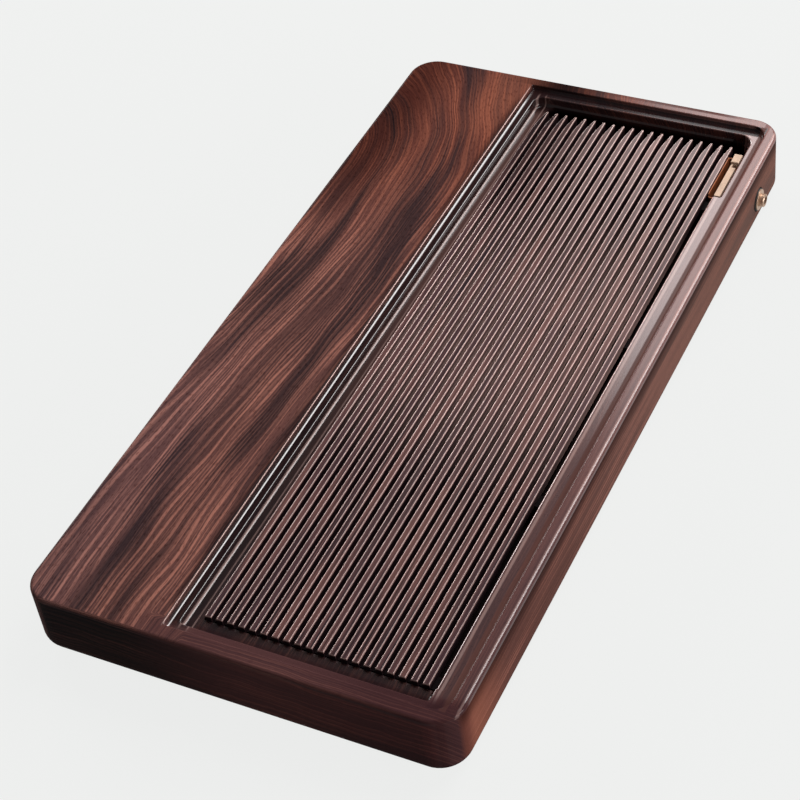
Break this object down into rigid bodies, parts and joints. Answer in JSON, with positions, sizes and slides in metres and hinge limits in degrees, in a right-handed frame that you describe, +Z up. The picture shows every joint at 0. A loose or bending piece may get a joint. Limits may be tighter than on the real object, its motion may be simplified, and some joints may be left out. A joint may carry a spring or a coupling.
{
  "type": "gongfu tea tray",
  "caption": "Gongfu tea tray: walnut slab with a dry board and a sunk, drained well under a lift-out slat rack, with a copper strainer and a brass hose outlet.",
  "frame": {"origin": "under the middle of the slab's footprint, on the plane that the feet stand on; the hose stub stands 5 mm past the slab on +X, so the box's centre lies 2.5 mm to that side", "axes": "+Z up, +Y along the slab towards the drain end, +X across it towards the drained side with the outlet"},
  "size_m": [0.28, 0.55, 0.0475],
  "materials": {
    "slab_walnut": "satin oil, wet in the well",
    "slat_walnut": "semi-gloss oil",
    "batten_walnut": "satin oil",
    "brass": "pale brushed brass",
    "copper": "copper sheet, brushed along its length",
    "rubber": "matt",
    "steel": "plain"
  },
  "bodies": {
    "tray": {"tray_body": "slab_walnut", "outlet_bush": "brass", "outlet_washer": "rubber", "outlet_nipple": "brass", "foot_near_left": "rubber", "foot_near_right": "rubber", "foot_far_left": "rubber", "foot_far_right": "rubber", "foot_screws": "steel"},
    "slat_rack": {"slat_01": "slat_walnut", "slat_02": "slat_walnut", "slat_03": "slat_walnut", "slat_04": "slat_walnut", "slat_05": "slat_walnut", "slat_06": "slat_walnut", "slat_07": "slat_walnut", "slat_08": "slat_walnut", "slat_09": "slat_walnut", "slat_10": "slat_walnut", "slat_11": "slat_walnut", "slat_12": "slat_walnut", "slat_13": "slat_walnut", "slat_14": "slat_walnut", "slat_15": "slat_walnut", "slat_16": "slat_walnut", "slat_17": "slat_walnut", "slat_18": "slat_walnut", "slat_19": "slat_walnut", "slat_20": "slat_walnut", "batten_1": "batten_walnut", "batten_2": "batten_walnut", "batten_3": "batten_walnut", "batten_4": "batten_walnut"},
    "strainer": {"strainer_basket": "copper", "strainer_bar": "brass", "strainer_tab": "brass", "strainer_rivets": "brass"}
  },
  "joints": [
    {"name": "rack_lift", "type": "slide", "parent": "tray", "child": "slat_rack", "axis": [0, 0, 1], "range_m": [0, 0.03]},
    {"name": "strainer_lift", "type": "slide", "parent": "tray", "child": "strainer", "axis": [0, 0, 1], "range_m": [0, 0.035]}
  ]
}
